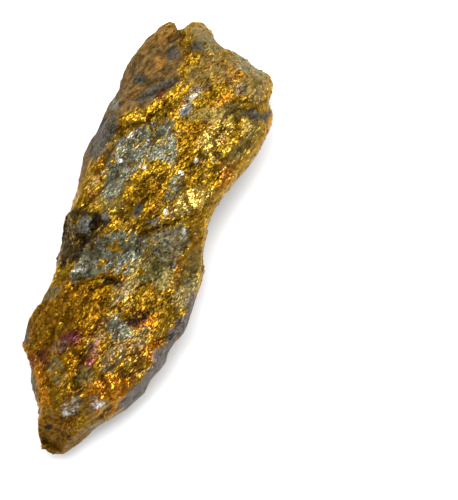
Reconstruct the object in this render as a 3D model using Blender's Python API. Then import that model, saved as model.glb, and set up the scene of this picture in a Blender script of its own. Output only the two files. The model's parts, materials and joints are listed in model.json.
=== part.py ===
"""A long lump of chalcopyrite ore, one broken stone lying on its flattest side.

Metres, +Z up. The origin is on the resting plane, under the middle of the stone's box.
+Y runs along the stone to its blunt end with two peaks, +X points at its steep grey flank.

The stone is blocked out from the rim, which is its outline seen from above, broken along
named fracture planes, and then given its ledges, chipped facets, hollows and cracks.
"""

import math

import bmesh
import bpy
import numpy as np

MM = 0.001

# The rim: where the stone is widest, as (x, y) in millimetres, round from the left peak
# of the blunt end, down the grey flank to the narrow tip, and back up the left side.
RIM = (
    (-23.5, 101.5), (-18.8, 98.8), (-15.2, 105.0), (-9.8, 106.6), (-6.0, 105.2),
    (-2.2, 102.2), (3.5, 98.8), (14.3, 98.6), (23.8, 96.2), (28.4, 96.8),
    (31.6, 93.6), (33.0, 88.5), (33.2, 84.6), (37.3, 79.8), (38.2, 74.0),
    (37.1, 64.4), (35.6, 57.0), (31.8, 43.5), (29.2, 33.1), (28.6, 25.0),
    (29.0, 17.4), (32.8, 4.2), (35.8, -1.6), (37.2, -12.0), (39.0, -25.1),
    (36.6, -36.0), (35.1, -43.0), (35.4, -47.0), (31.9, -57.0), (31.4, -66.0),
    (27.0, -75.0), (19.0, -88.2), (15.8, -99.6), (8.6, -107.6), (-1.2, -109.4),
    (-5.0, -107.0), (-9.2, -98.5), (-11.7, -89.6), (-17.4, -82.0), (-22.8, -75.8),
    (-25.6, -73.4), (-31.1, -66.0), (-32.6, -55.0), (-29.7, -42.0), (-28.2, -31.0),
    (-32.2, -16.5), (-35.3, -2.4), (-33.4, 2.0), (-34.9, 12.0), (-39.2, 25.6),
    (-39.2, 38.6), (-37.9, 60.0), (-38.2, 72.5), (-33.6, 84.8), (-31.0, 92.4),
    (-27.3, 97.9),
)
RIM_STEPS = 4  # curve points between two rim points
RING_STEPS = 14  # rings from the rim to the crest, and again to the keel; the last is capped

# Stations along the stone, from the tip to the blunt end, all in millimetres:
# y, x of the crest line, height of the crest, of the rim and of the keel
STATIONS = (
    (-110.0, 0.0, 27.0, 16.0, 8.0),
    (-92.0, 2.5, 37.0, 17.0, 3.5),
    (-74.0, 5.5, 44.0, 18.0, -1.5),
    (-52.0, 4.5, 47.0, 19.5, -3.5),
    (-27.0, 2.0, 46.5, 21.0, -3.5),
    (-8.0, 1.0, 44.0, 21.0, -3.5),
    (18.0, 2.0, 50.0, 22.0, -4.0),
    (45.0, 3.0, 53.5, 23.0, -4.0),
    (70.0, 2.0, 50.5, 23.0, -2.5),
    (90.0, 0.0, 43.0, 22.0, 3.5),
    (108.0, -4.0, 33.0, 21.0, 10.0),
)
SPINE_END_INSET = 17.0 * MM  # the crest line stops this short of both ends
CREST_SQUARENESS = 3.6  # exponents of the section: 2 is an ellipse, more is boxier
KEEL_SQUARENESS = 2.7

# Planes that the stone broke along: name, a point and how far the plane reaches round it,
# in millimetres, and its outward direction
FRACTURES = (
    ("top, left of its ridge", (-4.0, 42.0, 52.5), 60, (-0.23, -0.04, 0.97)),
    ("top, right of its ridge", (10.0, 42.0, 52.5), 60, (0.25, 0.03, 0.97)),
    ("matte flank by the blunt end", (-20.0, 82.0, 40.0), 34, (-0.55, 0.32, 0.77)),
    ("steep left flank", (-32.0, 46.0, 40.0), 32, (-0.93, 0.08, 0.36)),
    ("left side of the blunt end", (-36.5, 84.5, 20.0), 22, (-0.95, 0.28, -0.12)),
    ("shoulder over the waist", (-31.0, 10.0, 40.0), 24, (-0.78, -0.20, 0.59)),
    ("right shoulder", (30.0, 50.0, 43.0), 28, (0.70, -0.12, 0.70)),
    ("right side of the upper half", (37.0, 64.0, 22.0), 20, (0.98, -0.10, -0.14)),
    ("right side above the waist", (33.0, 40.0, 22.0), 14, (0.95, -0.24, 0.20)),
    ("corner of the blunt end", (29.0, 86.0, 38.0), 26, (0.66, 0.46, 0.59)),
    ("side below the corner", (35.5, 86.0, 18.0), 20, (0.86, 0.48, -0.16)),
    ("end, between the peaks and the corner", (10.0, 96.0, 37.0), 26, (0.20, 0.83, 0.52)),
    ("end below the peaks", (-12.0, 106.0, 12.0), 22, (-0.10, 0.95, -0.30)),
    ("step down to the waist", (24.0, 20.0, 44.0), 28, (0.46, -0.42, 0.78)),
    ("left side of the waist", (-34.0, -4.0, 22.0), 24, (-0.95, -0.12, 0.28)),
    ("left face of the lower lobe", (-8.0, -52.0, 42.0), 42, (-0.42, -0.03, 0.91)),
    ("foot of the left face", (-31.0, -57.0, 28.0), 24, (-0.86, -0.12, 0.50)),
    ("right face of the lower lobe", (16.0, -52.0, 43.5), 42, (0.30, -0.10, 0.95)),
    ("right side of the waist", (37.5, -2.0, 26.0), 22, (0.93, 0.18, 0.32)),
    ("grey flank", (35.5, -36.0, 34.0), 32, (0.95, -0.12, 0.29)),
    ("grey flank towards the tip", (24.0, -72.0, 30.0), 34, (0.86, -0.44, 0.26)),
    ("slope over the tip", (1.0, -92.0, 36.0), 24, (-0.10, -0.56, 0.82)),
    ("left side of the tip", (-17.5, -86.0, 22.0), 18, (-0.84, -0.42, 0.34)),
    ("left underside", (-31.0, 34.0, 6.0), 36, (-0.80, 0.06, -0.60)),
    ("left underside of the waist", (-27.0, -6.0, 4.0), 24, (-0.72, -0.20, -0.66)),
    ("left underside of the blunt end", (-26.0, 84.0, 7.0), 28, (-0.56, 0.44, -0.70)),
    ("right underside of the waist", (25.0, 8.0, 4.0), 30, (0.80, 0.16, -0.58)),
    ("right underside of the upper half", (30.0, 62.0, 6.0), 30, (0.68, -0.10, -0.73)),
    ("underside of the lobe", (-25.0, -52.0, 6.0), 32, (-0.72, -0.08, -0.69)),
    ("right underside of the lobe", (28.0, -46.0, 5.0), 32, (0.74, -0.16, -0.65)),
    ("underside of the tip", (3.0, -84.0, 4.0), 34, (0.05, -0.36, -0.93)),
    ("underside of the blunt end", (6.0, 88.0, 5.0), 30, (0.10, 0.46, -0.88)),
)
FRACTURE_LIFT = 0.7  # slope at which a plane lets go of the stone past its reach
FRACTURE_ROUGHNESS = 0.9 * MM
FRACTURE_WAVE = 9.0 * MM  # size of that roughness

# The ore is foliated: thin sheets that run obliquely along the stone and end in ledges.
FOLIATION = math.radians(70.3)  # direction of the sheets, from +X towards +Y
SHEET_DIP = 0.35  # how far the sheets lean over
LEDGE_PERIOD = 8.5 * MM
LEDGE_HEIGHT = 1.6 * MM
LEDGE_DROP = 0.22  # share of the period in which a ledge drops
LEDGE_WANDERS = ((30.0 * MM, 3.2 * MM), (11.0 * MM, 1.3 * MM))  # wave and width of its bends
LEDGE_FADE_WAVE = 24.0 * MM  # the ledges fade in and out over this distance

# Chipped faces: size of a face, wavelength and height of the swells that it flattens
CHIPS = ((19.0 * MM, 28.0 * MM, 3.0 * MM), (9.0 * MM, 13.0 * MM, 1.2 * MM))

# Lumps (height above 0) and hollows (below 0): name, (x, y), reach along the sheets,
# reach across them, height, all in millimetres
MOUNDS = (
    ("golden boss", (-7.0, 22.0), 11.0, 8.0, 2.6),
    ("grey window of the upper half", (-12.0, 45.0), 17.0, 8.0, -1.6),
    ("bright shoulder", (17.0, 27.0), 9.0, 6.0, 1.8),
    ("quartz knob at the waist", (17.0, 5.0), 9.0, 8.0, 2.0),
    ("waist hollow", (-29.0, -9.0), 10.0, 8.0, -4.4),
    ("waist pit", (-20.0, -7.0), 3.2, 2.8, -4.5),
    ("upper waist pit", (-17.0, 0.5), 3.4, 2.0, -2.6),
    ("saddle", (-12.0, -16.0), 14.0, 9.0, -2.6),
    ("bulge of the lower lobe", (-14.0, -44.0), 18.0, 12.0, 3.0),
    ("grey trough in the right face", (11.0, -38.0), 15.0, 6.0, -2.4),
    ("orange lump", (16.0, -66.0), 9.0, 7.0, 2.2),
    ("dip before the tip", (6.0, -84.0), 8.0, 9.0, -2.0),
    ("lump at the tip", (-2.0, -98.0), 7.0, 6.0, 1.6),
    ("left peak", (-23.0, 94.0), 6.0, 5.0, 1.8),
    ("right peak", (-9.0, 97.0), 8.0, 6.0, 2.2),
    ("grey lens in the corner", (27.0, 76.0), 4.0, 8.0, -1.8),
    ("upper corner lump", (27.0, 87.0), 6.0, 8.0, 2.0),
    ("lower corner lump", (32.0, 66.0), 9.0, 6.0, 1.8),
)
MOUND_RIM = 1.25  # a lump or hollow ends at so many times its reach

# Cracks and undercut ledges: name, path of (x, y), width, depth, all in millimetres
CRACKS = (
    ("cleft between the peaks", ((-17.6, 105.0), (-19.2, 99.0), (-21.5, 93.0)), 1.9, 4.6),
    ("ledge over the matte flank", ((-8.0, 80.0), (-17.5, 66.0), (-28.5, 53.0)), 1.7, 2.2),
    ("crack of the waist", ((5.2, -3.5), (3.4, 3.0), (7.3, 8.2), (12.0, 13.0)), 1.7, 3.0),
    ("upper edge of the lower lobe", ((-27.0, -30.0), (-12.0, -22.0), (4.0, -19.0)), 2.0, 2.2),
    ("slot in the lobe", ((-8.0, -26.0), (-1.0, -19.5)), 1.5, 3.2),
    ("trough along the lobe", ((2.5, -50.0), (0.5, -60.0), (3.5, -70.0)), 1.8, 2.4),
    ("step in the right flank", ((34.0, -33.0), (28.5, -38.0)), 2.0, 3.0),
)
CRACK_RAGGEDNESS = 0.35  # share by which a crack's width comes and goes
CRACK_WAVE = 4.0 * MM

MESH_STEP = 1.5 * MM  # spacing of the points while the stone is carved
SPIKE_EASING = 0.25  # how far each point then moves towards the middle of its neighbours
TRIANGLES = 7600  # of the finished stone
FLOOR_PULL = 1.6 * MM  # how far the underside sinks, so that no dimple is left in the rest face
FLOOR_REACH = 3.0  # the sinking fades out at so many times that height
SURFACE_LEVEL = 0.35  # a direction's Z above which a face counts as the upper side
CHIPPED_OFF = 0.9 * MM  # what chipping takes off all round, beside what it only moves
RIM_SHARE = 0.6  # share of the carving that upright faces keep, so that the outline holds
UPRIGHT = 0.7  # a direction's Z below which a face begins to count as upright
SHARP_ANGLE = math.radians(24.0)

# Uneven numbers that turn the corners of a grid into scattered values, always the same
SCATTER = (127.1, 311.7, 74.7)
SEED_STRIDE = 53.3
SCATTER_GAIN = 43758.5453


def smoothstep(t):
    """0 below 0, 1 above 1, and a smooth rise between."""
    t = np.clip(t, 0.0, 1.0)
    return t * t * (3.0 - 2.0 * t)


def rounded_curve(points, steps):
    """A closed smooth curve through the points, with so many points to each stretch."""
    p = np.array(points)
    before, after, beyond = np.roll(p, 1, 0), np.roll(p, -1, 0), np.roll(p, -2, 0)
    t = (np.arange(steps) / steps)[None, :, None]
    p, before, after, beyond = (a[:, None, :] for a in (p, before, after, beyond))
    curve = 0.5 * (
        2 * p
        + (after - before) * t
        + (2 * before - 5 * p + 4 * after - beyond) * t**2
        + (3 * p - before - 3 * after + beyond) * t**3
    )
    return curve.reshape(-1, 2)


def block():
    """The stone before it broke: rings from the keel over the rim to the crest."""
    rim = rounded_curve(RIM, RIM_STEPS) * MM
    station = np.array(STATIONS) * MM
    ends = (station[0, 0] + SPINE_END_INSET, station[-1, 0] - SPINE_END_INSET)
    foot_y = np.clip(rim[:, 1], *ends)
    foot_x = np.interp(foot_y, station[:, 0], station[:, 1])
    crest, rim_height, keel = (
        np.interp(foot_y, station[:, 0], station[:, column]) for column in (2, 3, 4)
    )
    at_rim = np.interp(rim[:, 1], station[:, 0], station[:, 3])
    rings = []
    for step in range(1 - RING_STEPS, RING_STEPS):
        angle = math.pi / 2 * step / RING_STEPS
        power = 2 / (CREST_SQUARENESS if step > 0 else KEEL_SQUARENESS)
        out = math.cos(angle) ** power
        up = abs(math.sin(angle)) ** power
        target = crest if step > 0 else keel
        level = at_rim + (rim_height - at_rim) * (1 - out)
        rings.append(
            np.column_stack(
                (
                    foot_x + (rim[:, 0] - foot_x) * out,
                    foot_y + (rim[:, 1] - foot_y) * out,
                    level + (target - level) * up,
                )
            )
        )
    return rings


def mesh_from_rings(rings):
    """A closed bmesh whose first and last rings are capped."""
    bm = bmesh.new()
    rows = [[bm.verts.new(p) for p in ring] for ring in rings]
    count = len(rows[0])
    for low, high in zip(rows, rows[1:]):
        for i in range(count):
            j = (i + 1) % count
            bm.faces.new((low[i], low[j], high[j], high[i]))
    for row, up in ((rows[0], -1), (rows[-1], 1)):
        edges = [e for v in row for e in v.link_edges if e.is_boundary]
        bmesh.ops.triangle_fill(bm, edges=list(set(edges)), use_beauty=True, normal=(0, 0, up))
    bmesh.ops.recalc_face_normals(bm, faces=bm.faces)
    return bm


def hash01(cells, seed):
    """A fixed number from 0 to 1 for each cell of a grid."""
    x = cells @ np.array(SCATTER) + seed * SEED_STRIDE
    return np.abs(np.sin(x) * SCATTER_GAIN) % 1.0


def soft_noise(points, size, seed):
    """Smooth noise from -1 to 1 with features of that size."""
    scaled = points / size
    base = np.floor(scaled)
    part = smoothstep(scaled - base)
    total = np.zeros(len(points))
    for shift in np.ndindex(2, 2, 2):
        corner = np.array(shift)
        weight = np.where(corner == 1, part, 1 - part).prod(1)
        total += weight * hash01(base + corner, seed)
    return 2 * total - 1


def nearest_cell(points, size, seed):
    """The centre of the nearest of the scattered cells, for each point."""
    base = np.floor(points / size)
    nearest = np.full(len(points), np.inf)
    centres = np.zeros_like(points)
    for shift in np.ndindex(3, 3, 3):
        cell = base + np.array(shift) - 1
        centre = (cell + np.stack([hash01(cell, seed + axis) for axis in range(3)], 1)) * size
        distance = ((points - centre) ** 2).sum(1)
        closer = distance < nearest
        nearest[closer] = distance[closer]
        centres[closer] = centre[closer]
    return centres


def facets(points, size, wave, height, seed):
    """Chipped faces: soft noise in which each cell keeps only its own tangent plane."""
    centres = nearest_cell(points, size, seed)
    middle = soft_noise(centres, wave, seed)
    flat = middle
    for axis in range(3):
        step = np.zeros(3)
        step[axis] = size / 4
        slope = (soft_noise(centres + step, wave, seed) - middle) / step[axis]
        flat = flat + slope * (points - centres)[:, axis]
    return flat * height


def break_along_planes(points):
    """Each point past a fracture plane goes back onto it, a little unevenly."""
    for seed, (_, origin, reach, direction) in enumerate(FRACTURES):
        normal = np.array(direction) / np.linalg.norm(direction)
        away = points - np.array(origin) * MM
        uneven = soft_noise(points, FRACTURE_WAVE, 20 + seed) * FRACTURE_ROUGHNESS
        let_go = np.maximum(np.linalg.norm(away, axis=1) - reach * MM, 0.0) * FRACTURE_LIFT
        past = away @ normal - uneven - let_go
        points = points - np.maximum(past, 0.0)[:, None] * normal
    return points


def ledges(points):
    """The ends of the sheets: a slow rise across them and then a quick drop."""
    place = points @ np.array((math.sin(FOLIATION), -math.cos(FOLIATION), SHEET_DIP))
    for seed, (wave, width) in enumerate(LEDGE_WANDERS):
        place += soft_noise(points, wave, 3 + seed) * width
    phase = place / LEDGE_PERIOD % 1.0
    tooth = np.where(
        phase < LEDGE_DROP, phase / LEDGE_DROP, (1 - phase) / (1 - LEDGE_DROP)
    )
    size = 0.55 + 0.45 * soft_noise(points, LEDGE_FADE_WAVE, 5)
    return (tooth - 0.5) * LEDGE_HEIGHT * size


def mounds(points, upper):
    """Height of the named lumps and hollows, each an oval lying along the sheets."""
    along = np.array((math.cos(FOLIATION), math.sin(FOLIATION)))
    across = np.array((along[1], -along[0]))
    total = np.zeros(len(points))
    for _, centre, reach_along, reach_across, height in MOUNDS:
        away = points[:, :2] - np.array(centre) * MM
        u = away @ along / (reach_along * MM)
        v = away @ across / (reach_across * MM)
        total += height * MM * smoothstep(MOUND_RIM - np.hypot(u, v)) * upper
    return total


def distance_to_path(points, path):
    """Distance in plan from each point to a line of straight stretches."""
    nearest = np.full(len(points), np.inf)
    for start, end in zip(path, path[1:]):
        a, b = np.array(start) * MM, np.array(end) * MM
        t = np.clip((points[:, :2] - a) @ (b - a) / ((b - a) @ (b - a)), 0, 1)
        gap = np.linalg.norm(points[:, :2] - a - t[:, None] * (b - a), axis=1)
        nearest = np.minimum(nearest, gap)
    return nearest


def cracks(points, upper):
    """Depth of the named cracks."""
    total = np.zeros(len(points))
    for _, path, width, depth in CRACKS:
        ragged = 1 + CRACK_RAGGEDNESS * soft_noise(points, CRACK_WAVE, 8)
        gap = distance_to_path(points, path) * ragged
        total -= depth * MM * smoothstep(1 - gap / (width * MM)) * upper
    return total


def coordinates(mesh):
    """The mesh's points, a row each."""
    found = np.empty(len(mesh.vertices) * 3)
    mesh.vertices.foreach_get("co", found)
    return found.reshape(-1, 3)


def evaluated_copy(obj):
    """The object's mesh with its modifiers applied."""
    graph = bpy.context.evaluated_depsgraph_get()
    return bpy.data.meshes.new_from_object(obj.evaluated_get(graph))


def even_mesh(mesh):
    """The same shape with evenly spaced points, ready to be carved."""
    obj = bpy.data.objects.new("carving", mesh)
    bpy.context.scene.collection.objects.link(obj)
    remesh = obj.modifiers.new("even", "REMESH")
    remesh.mode = "VOXEL"
    remesh.voxel_size = MESH_STEP
    even = evaluated_copy(obj)
    bpy.data.objects.remove(obj)
    return even


def carve(mesh):
    """Ledges and chips go along the surface's own direction, mounds and cracks straight up."""
    points = coordinates(mesh)
    normals = np.empty(len(points) * 3)
    mesh.vertex_normals.foreach_get("vector", normals)
    normals = normals.reshape(-1, 3)
    upper = smoothstep(normals[:, 2] / SURFACE_LEVEL)
    lift = mounds(points, upper) + cracks(points, upper)
    depth = ledges(points) - CHIPPED_OFF
    for seed, (size, wave, height) in enumerate(CHIPS):
        depth += facets(points, size, wave, height, 10 * seed + 11)
    depth *= RIM_SHARE + (1 - RIM_SHARE) * smoothstep(np.abs(normals[:, 2]) / UPRIGHT)
    points += normals * depth[:, None]
    points[:, 2] += lift
    mesh.vertices.foreach_set("co", points.ravel())
    bm = bmesh.new()
    bm.from_mesh(mesh)
    bmesh.ops.smooth_vert(
        bm, verts=bm.verts, factor=SPIKE_EASING, use_axis_x=True, use_axis_y=True, use_axis_z=True
    )
    bm.to_mesh(mesh)
    bm.free()


def fewer_triangles(mesh, wanted):
    """The same shape in fewer triangles: flat places lose most of them, creases few."""
    obj = bpy.data.objects.new("sparing", mesh)
    bpy.context.scene.collection.objects.link(obj)
    now = sum(len(p.vertices) - 2 for p in mesh.polygons)
    decimate = obj.modifiers.new("fewer", "DECIMATE")
    decimate.ratio = wanted / now
    decimate.use_collapse_triangulate = True
    spare = evaluated_copy(obj)
    bpy.data.objects.remove(obj)
    return spare


def centre(mesh):
    """Puts the middle of the stone's box over the origin."""
    points = coordinates(mesh)
    points[:, :2] -= (points[:, :2].min(0) + points[:, :2].max(0)) / 2
    mesh.vertices.foreach_set("co", points.ravel())


def cut_resting_face(mesh):
    """Cuts the keel off level at the floor, which leaves one true flat face to rest on."""
    points = coordinates(mesh)
    points[:, 2] -= FLOOR_PULL * smoothstep(1 - points[:, 2] / (FLOOR_REACH * FLOOR_PULL))
    mesh.vertices.foreach_set("co", points.ravel())
    bm = bmesh.new()
    bm.from_mesh(mesh)
    cut = bmesh.ops.bisect_plane(
        bm,
        geom=bm.verts[:] + bm.edges[:] + bm.faces[:],
        dist=0.02 * MM,
        plane_co=(0, 0, 0),
        plane_no=(0, 0, -1),
        clear_outer=True,
    )
    edges = [e for e in cut["geom_cut"] if isinstance(e, bmesh.types.BMEdge)]
    for vert in {v for e in edges for v in e.verts}:
        vert.co.z = 0.0
    bmesh.ops.holes_fill(bm, edges=edges)
    bmesh.ops.triangulate(bm, faces=bm.faces)
    bmesh.ops.recalc_face_normals(bm, faces=bm.faces)
    bm.to_mesh(mesh)
    bm.free()


def ore_material():
    """Tarnished brassy ore."""
    made = bpy.data.materials.new("chalcopyrite")
    made.use_nodes = True
    shader = made.node_tree.nodes["Principled BSDF"]
    shader.inputs["Base Color"].default_value = (0.30, 0.19, 0.045, 1.0)
    shader.inputs["Metallic"].default_value = 0.75
    shader.inputs["Roughness"].default_value = 0.42
    return made


def chalcopyrite():
    """The finished stone."""
    bm = mesh_from_rings(block())
    for vert, place in zip(bm.verts, break_along_planes(np.array([v.co for v in bm.verts]))):
        vert.co = place
    mesh = bpy.data.meshes.new("block")
    bm.to_mesh(mesh)
    bm.free()
    mesh = even_mesh(mesh)
    carve(mesh)
    mesh = fewer_triangles(mesh, TRIANGLES)
    centre(mesh)
    cut_resting_face(mesh)
    mesh.name = "chalcopyrite"
    stone = bpy.data.objects.new("chalcopyrite", mesh)
    bpy.context.scene.collection.objects.link(stone)
    mesh.materials.clear()
    mesh.materials.append(ore_material())
    mesh.shade_smooth()
    mesh.set_sharp_from_angle(angle=SHARP_ANGLE)
    return stone


def main():
    for obj in list(bpy.data.objects):
        bpy.data.objects.remove(obj)
    chalcopyrite()


main()
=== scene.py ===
"""A chalcopyrite specimen: crystals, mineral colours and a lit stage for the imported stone.

Lengths are in metres, or in millimetres where a comment says mm, and places in the stone's
own frame: +Y runs along it to the blunt end, +X points at its steep grey flank, +Z is up.
"""

import json
import math

import bmesh
import bpy
import numpy as np
from bpy.props import (
    FloatProperty,
    FloatVectorProperty,
    IntProperty,
    PointerProperty,
)
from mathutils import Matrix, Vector

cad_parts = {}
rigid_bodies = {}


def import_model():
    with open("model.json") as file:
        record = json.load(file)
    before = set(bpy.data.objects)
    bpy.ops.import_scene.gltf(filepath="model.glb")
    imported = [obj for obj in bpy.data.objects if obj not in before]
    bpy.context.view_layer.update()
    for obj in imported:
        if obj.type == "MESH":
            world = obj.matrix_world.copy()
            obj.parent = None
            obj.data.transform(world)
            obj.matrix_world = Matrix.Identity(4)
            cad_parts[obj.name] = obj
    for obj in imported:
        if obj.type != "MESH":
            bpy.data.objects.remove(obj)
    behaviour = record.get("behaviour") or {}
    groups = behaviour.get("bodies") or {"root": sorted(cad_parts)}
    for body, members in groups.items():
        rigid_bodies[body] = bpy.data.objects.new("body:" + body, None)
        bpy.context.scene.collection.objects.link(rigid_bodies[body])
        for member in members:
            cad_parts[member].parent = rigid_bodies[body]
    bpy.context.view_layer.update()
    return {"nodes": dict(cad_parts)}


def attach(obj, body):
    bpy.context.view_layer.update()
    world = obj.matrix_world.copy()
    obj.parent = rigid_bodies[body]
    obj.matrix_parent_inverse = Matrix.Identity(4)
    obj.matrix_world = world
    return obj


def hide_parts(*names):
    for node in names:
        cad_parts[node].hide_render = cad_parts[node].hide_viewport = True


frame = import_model()

bl_info = {
    "name": "Chalcopyrite specimen",
    "version": (1, 0, 0),
    "blender": (4, 5, 0),
    "location": "3D View > Sidebar > Ore",
    "description": "Cuts crystals into the packed stone, colours its minerals and lights it",
    "category": "Object",
}

MM = 0.001
FOLIATION = math.radians(70.3)  # direction of the ore's sheets, from +X towards +Y

# Each mineral: colour, share of metal, roughness, how deep its crystals are cut, how thickly
# its plates stand, and the share of its patches that the ore under it shows through
MINERALS = {
    "gold": ((0.31, 0.182, 0.010), 0.92, 0.34, 1.0, 0.55, 0.0),
    "deep": ((0.15, 0.080, 0.004), 0.92, 0.38, 1.0, 0.45, 0.1),
    "ochre": ((0.225, 0.104, 0.004), 0.95, 0.36, 1.2, 0.50, 0.30),
    "orange": ((0.47, 0.19, 0.012), 1.00, 0.29, 1.0, 0.70, 0.3),
    "bright": ((0.64, 0.46, 0.10), 1.00, 0.26, 1.0, 1.0, 0.35),
    "grey": ((0.150, 0.156, 0.098), 0.60, 0.32, 1.0, 0.55, 0.35),
    "blue": ((0.115, 0.122, 0.10), 0.50, 0.40, 0.8, 0.20, 0.35),
    "slate": ((0.064, 0.057, 0.038), 0.15, 0.55, 0.9, 0.0, 0.25),
    "steel": ((0.120, 0.106, 0.090), 0.20, 0.50, 0.9, 0.0, 0.2),
    "matte": ((0.128, 0.077, 0.020), 0.10, 0.72, 0.8, 0.0, 0.15),
    "stain": ((0.23, 0.112, 0.016), 0.20, 0.65, 0.6, 0.05, 0.45),
    "rock": ((0.165, 0.125, 0.040), 0.35, 0.46, 0.9, 0.20, 0.40),
    "pale": ((0.24, 0.215, 0.095), 0.50, 0.38, 1.25, 0.45, 0.35),
    "silk": ((0.24, 0.185, 0.093), 0.75, 0.33, 1.4, 0.75, 0.35),
    # silver is pale silvery ore whose brightness is partly a painted highlight, for sparkle and glassy
    # streaks
    "silver": ((0.50, 0.47, 0.36), 0.85, 0.30, 1.4, 0.80, 0.50),
    "quartz": ((0.158, 0.143, 0.072), 0.15, 0.30, 1.5, 0.25, 0.3),
    "olive": ((0.152, 0.126, 0.036), 0.50, 0.38, 0.75, 0.30, 0.22),
    # dark is laid only in hollows: partly dark ore, partly painted shade
    "dark": ((0.040, 0.026, 0.008), 0.60, 0.42, 1.7, 0.30, 0.30),
    # Painted shade: very dark paint for the shade in pits and slots
    "black": ((0.012, 0.007, 0.004), 0.00, 0.80, 1.0, 0.0, 0.0),
    "maroon": ((0.125, 0.038, 0.012), 0.80, 0.37, 1.1, 0.35, 0.25),
    "purple": ((0.15, 0.042, 0.048), 0.85, 0.34, 1.0, 0.40, 0.40),
    "pink": ((0.25, 0.13, 0.075), 0.80, 0.36, 0.8, 0.30, 0.4),
    "tip": ((0.17, 0.078, 0.003), 0.84, 0.40, 1.6, 0.45, 0.1),
    # glint is no mineral but near-white paint for painted glints, small faces that catch the lamp
    "glint": ((0.80, 0.80, 0.75), 0.80, 0.22, 0.4, 0.0, 0.3),
}

# Broad zones under the patches, soft ovals seen from above: mineral, name, (x, y), half
# length and half width in mm, direction in degrees from +X towards +Y
ZONES = (
    ("ochre", "brown beside the window", (4, 55), 9.5, 4.1, 98),
    ("rock", "below the blunt end", (2, 91), 13.6, 6.5, 43),
    ("olive", "across the top", (11, 72), 11.3, 3.3, 28),
    ("olive", "olive of the corner", (20, 90), 8.5, 4.5, 40),
    ("silk", "pale corner", (27, 88), 3.4, 2.2, 93),
    ("orange", "warm middle of the top", (13, 80), 5.4, 2.2, 53),
    ("bright", "bright field of the top", (15, 62), 10.1, 4.7, 73),
    ("olive", "below the corner lens", (30, 71), 4.7, 3.6, 83),
    ("olive", "right edge of the top", (27, 57), 5.3, 3.0, 73),
    ("orange", "end of the gold band", (-30, 29), 3.6, 1.8, 98),
    ("maroon", "red edge of the gold band", (-30, 43), 4.1, 0.8, 78),
    ("olive", "below the window", (-19, 14), 4.1, 5.9, 83),
    ("maroon", "corner of the waist", (-28, 13), 3.6, 2.1, 83),
    ("ochre", "right of the boss", (0, 24), 5.3, 3.0, 83),
    ("olive", "left of the quartz", (5, -4), 8.0, 2.8, 93),
    ("olive", "right of the quartz", (30, -3), 10.2, 4.1, 103),
    ("pale", "right of the waist", (31, -13), 7.5, 4.1, 83),
    ("deep", "brown of the upper lobe", (-2, -21), 8.1, 2.7, 63),
    ("deep", "brown right of the lobe", (25, -24), 8.0, 5.0, 70),
    ("pale", "streaks of the upper lobe", (4, -23), 7.4, 2.4, 65),
    ("maroon", "brown lip of the lobe", (0, -44), 7.4, 2.4, 71),
    ("silk", "silver of the lobe", (21, -40), 6.8, 3.0, 68),
    ("gold", "yellow of the left lobe", (-20, -53), 10.2, 4.7, 68),
    ("orange", "warm middle of the lobe", (-8, -60), 8.8, 4.1, 73),
    ("silk", "silver of the lower lobe", (12, -52), 6.1, 3.0, 73),
    ("tip", "brown of the tip", (-1, -96), 9.5, 6.0, 53),
    ("tip", "lower edge of the tip", (14, -93), 12.2, 2.7, 48),
    ("pale", "pale field before the tip", (15, -78), 4.7, 3.0, 43),
)

# Patches seen from above, in the order in which they are laid: mineral, name, outline in mm
FIELDS = (
    ("ochre", "left of the lower lobe", (
        (-27, -31), (-14, -25), (-3, -24), (1, -36), (-3, -50), (1, -62), (-4, -76), (-9, -92),
        (-14, -88), (-25, -76), (-34, -64), (-34, -50), (-31, -40))),
    ("matte", "weathered flank", (
        (-31, 100), (-24, 104), (-19, 102), (-19, 96), (-14, 90), (-11, 79), (-16, 71),
        (-20, 63), (-30, 53), (-31, 41), (-33, 31), (-36, 22), (-43, 28), (-40, 54), (-35, 89))),
    ("rock", "right peak", (
        (-17, 103), (-10, 107), (-3, 104), (3, 101), (-1, 96), (-8, 93), (-13, 96))),
    ("pale", "pale shoulder", ((7, 102), (15, 103), (27, 99), (23, 96), (17, 94), (11, 96))),
    ("silk", "silky streaks", ((1, 84), (1, 77), (0, 67), (-3, 64), (-5, 65), (-5, 73), (-4, 80))),
    ("slate", "slate lens in the corner", (
        (21, 74), (24, 79), (34, 82), (36, 79), (30, 76), (25, 74))),
    ("grey", "large grey window", (
        (-26, 30), (-26, 42), (-17, 55), (-9, 60), (-4, 57), (1, 47), (3, 39), (-5, 40),
        (-11, 37), (-15, 27), (-16, 21), (-22, 18), (-25, 23))),
    # Partly dark ore, partly painted shade in the hollow
    ("dark", "hollow of the waist", (
        (-34, 2), (-27, 6), (-20, 6), (-15, 4), (-17, -1), (-20, -8), (-22, -18),
        (-28, -27), (-34, -19), (-35, -11), (-36, -3))),
    ("grey", "band of the waist", (
        (-23, -26), (-21, -12), (-17, -3), (-10, 2), (4, 5), (5, -3), (6, -9), (11, -16),
        (5, -17), (-6, -17), (-12, -23), (-20, -27))),
    ("quartz", "quartz knob", (
        (6, 1), (7, 8), (13, 14), (17, 17), (22, 13), (24, 9), (22, 2), (19, -1), (15, -3), (9, -5))),
    ("olive", "olive foot of the quartz", (
        (4, -13), (9, -5), (19, -1), (22, -6), (23, -14), (16, -16), (11, -17), (6, -18))),
    ("grey", "grey window of the lobe", (
        (2, -42), (5, -33), (10, -35), (16, -36), (18, -42), (13, -45), (7, -45))),
    ("orange", "orange lump", (
        (7, -68), (14, -62), (23, -62), (25, -68), (22, -73), (16, -74), (10, -75))),
    ("steel", "steep grey flank", (
        (38, -11), (43, -26), (41, -31), (38, -50), (35, -64), (29, -78), (22, -90), (17, -95),
        (16, -90), (22, -83), (25, -77), (23, -72), (25, -66), (27, -60), (30, -53), (29, -43),
        (33, -35), (30, -32), (33, -28), (35, -21), (34, -11))),
    ("tip", "dark tip", ((-6, -104), (5, -97), (12, -91), (19, -92), (15, -99), (4, -111), (-6, -112))),
)

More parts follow.
